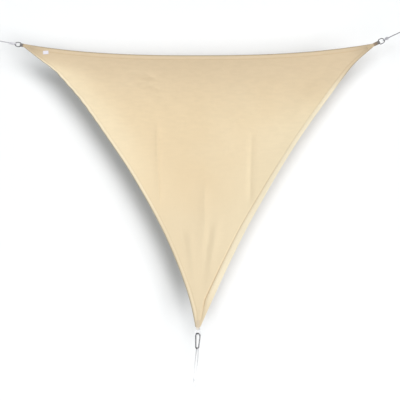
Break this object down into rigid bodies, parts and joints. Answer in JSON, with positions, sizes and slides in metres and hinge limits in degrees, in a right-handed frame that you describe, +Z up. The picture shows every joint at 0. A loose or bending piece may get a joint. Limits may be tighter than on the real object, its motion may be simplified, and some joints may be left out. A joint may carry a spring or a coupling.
{
  "type": "shade sail",
  "caption": "Triangular cloth shade sail with hollow edges and turned hems, strung upright from webbing tabs, D-rings, a snap hook and tied ropes.",
  "frame": {"origin": "middle of the cloth's top edge, at the mount top_edge", "axes": "+X along the top edge from the left corner to the right one, +Y away from the face, +Z up"},
  "size_m": [3.5972, 0.1407, 3.0833],
  "materials": {
    "cloth": "matt knitted sun-shade cloth, sand coloured",
    "webbing": "matt woven tape, brown",
    "steel": "polished steel wire",
    "rope": "twisted synthetic cord, off-white",
    "label": "smooth white satin tape, blank"
  },
  "bodies": {
    "root": {"sail": "cloth", "label": "label", "tab_left": "webbing", "tab_right": "webbing", "tab_bottom": "webbing", "ring_left": "steel", "ring_right": "steel", "ring_bottom": "steel", "hook_body": "steel", "hook_gate": "steel", "rope_left": "rope", "rope_right": "rope", "rope_bottom": "rope", "hitch_left": "rope", "hitch_right": "rope", "knot_left": "rope", "knot_right": "rope", "knot_bottom": "rope"}
  },
  "joints": []
}
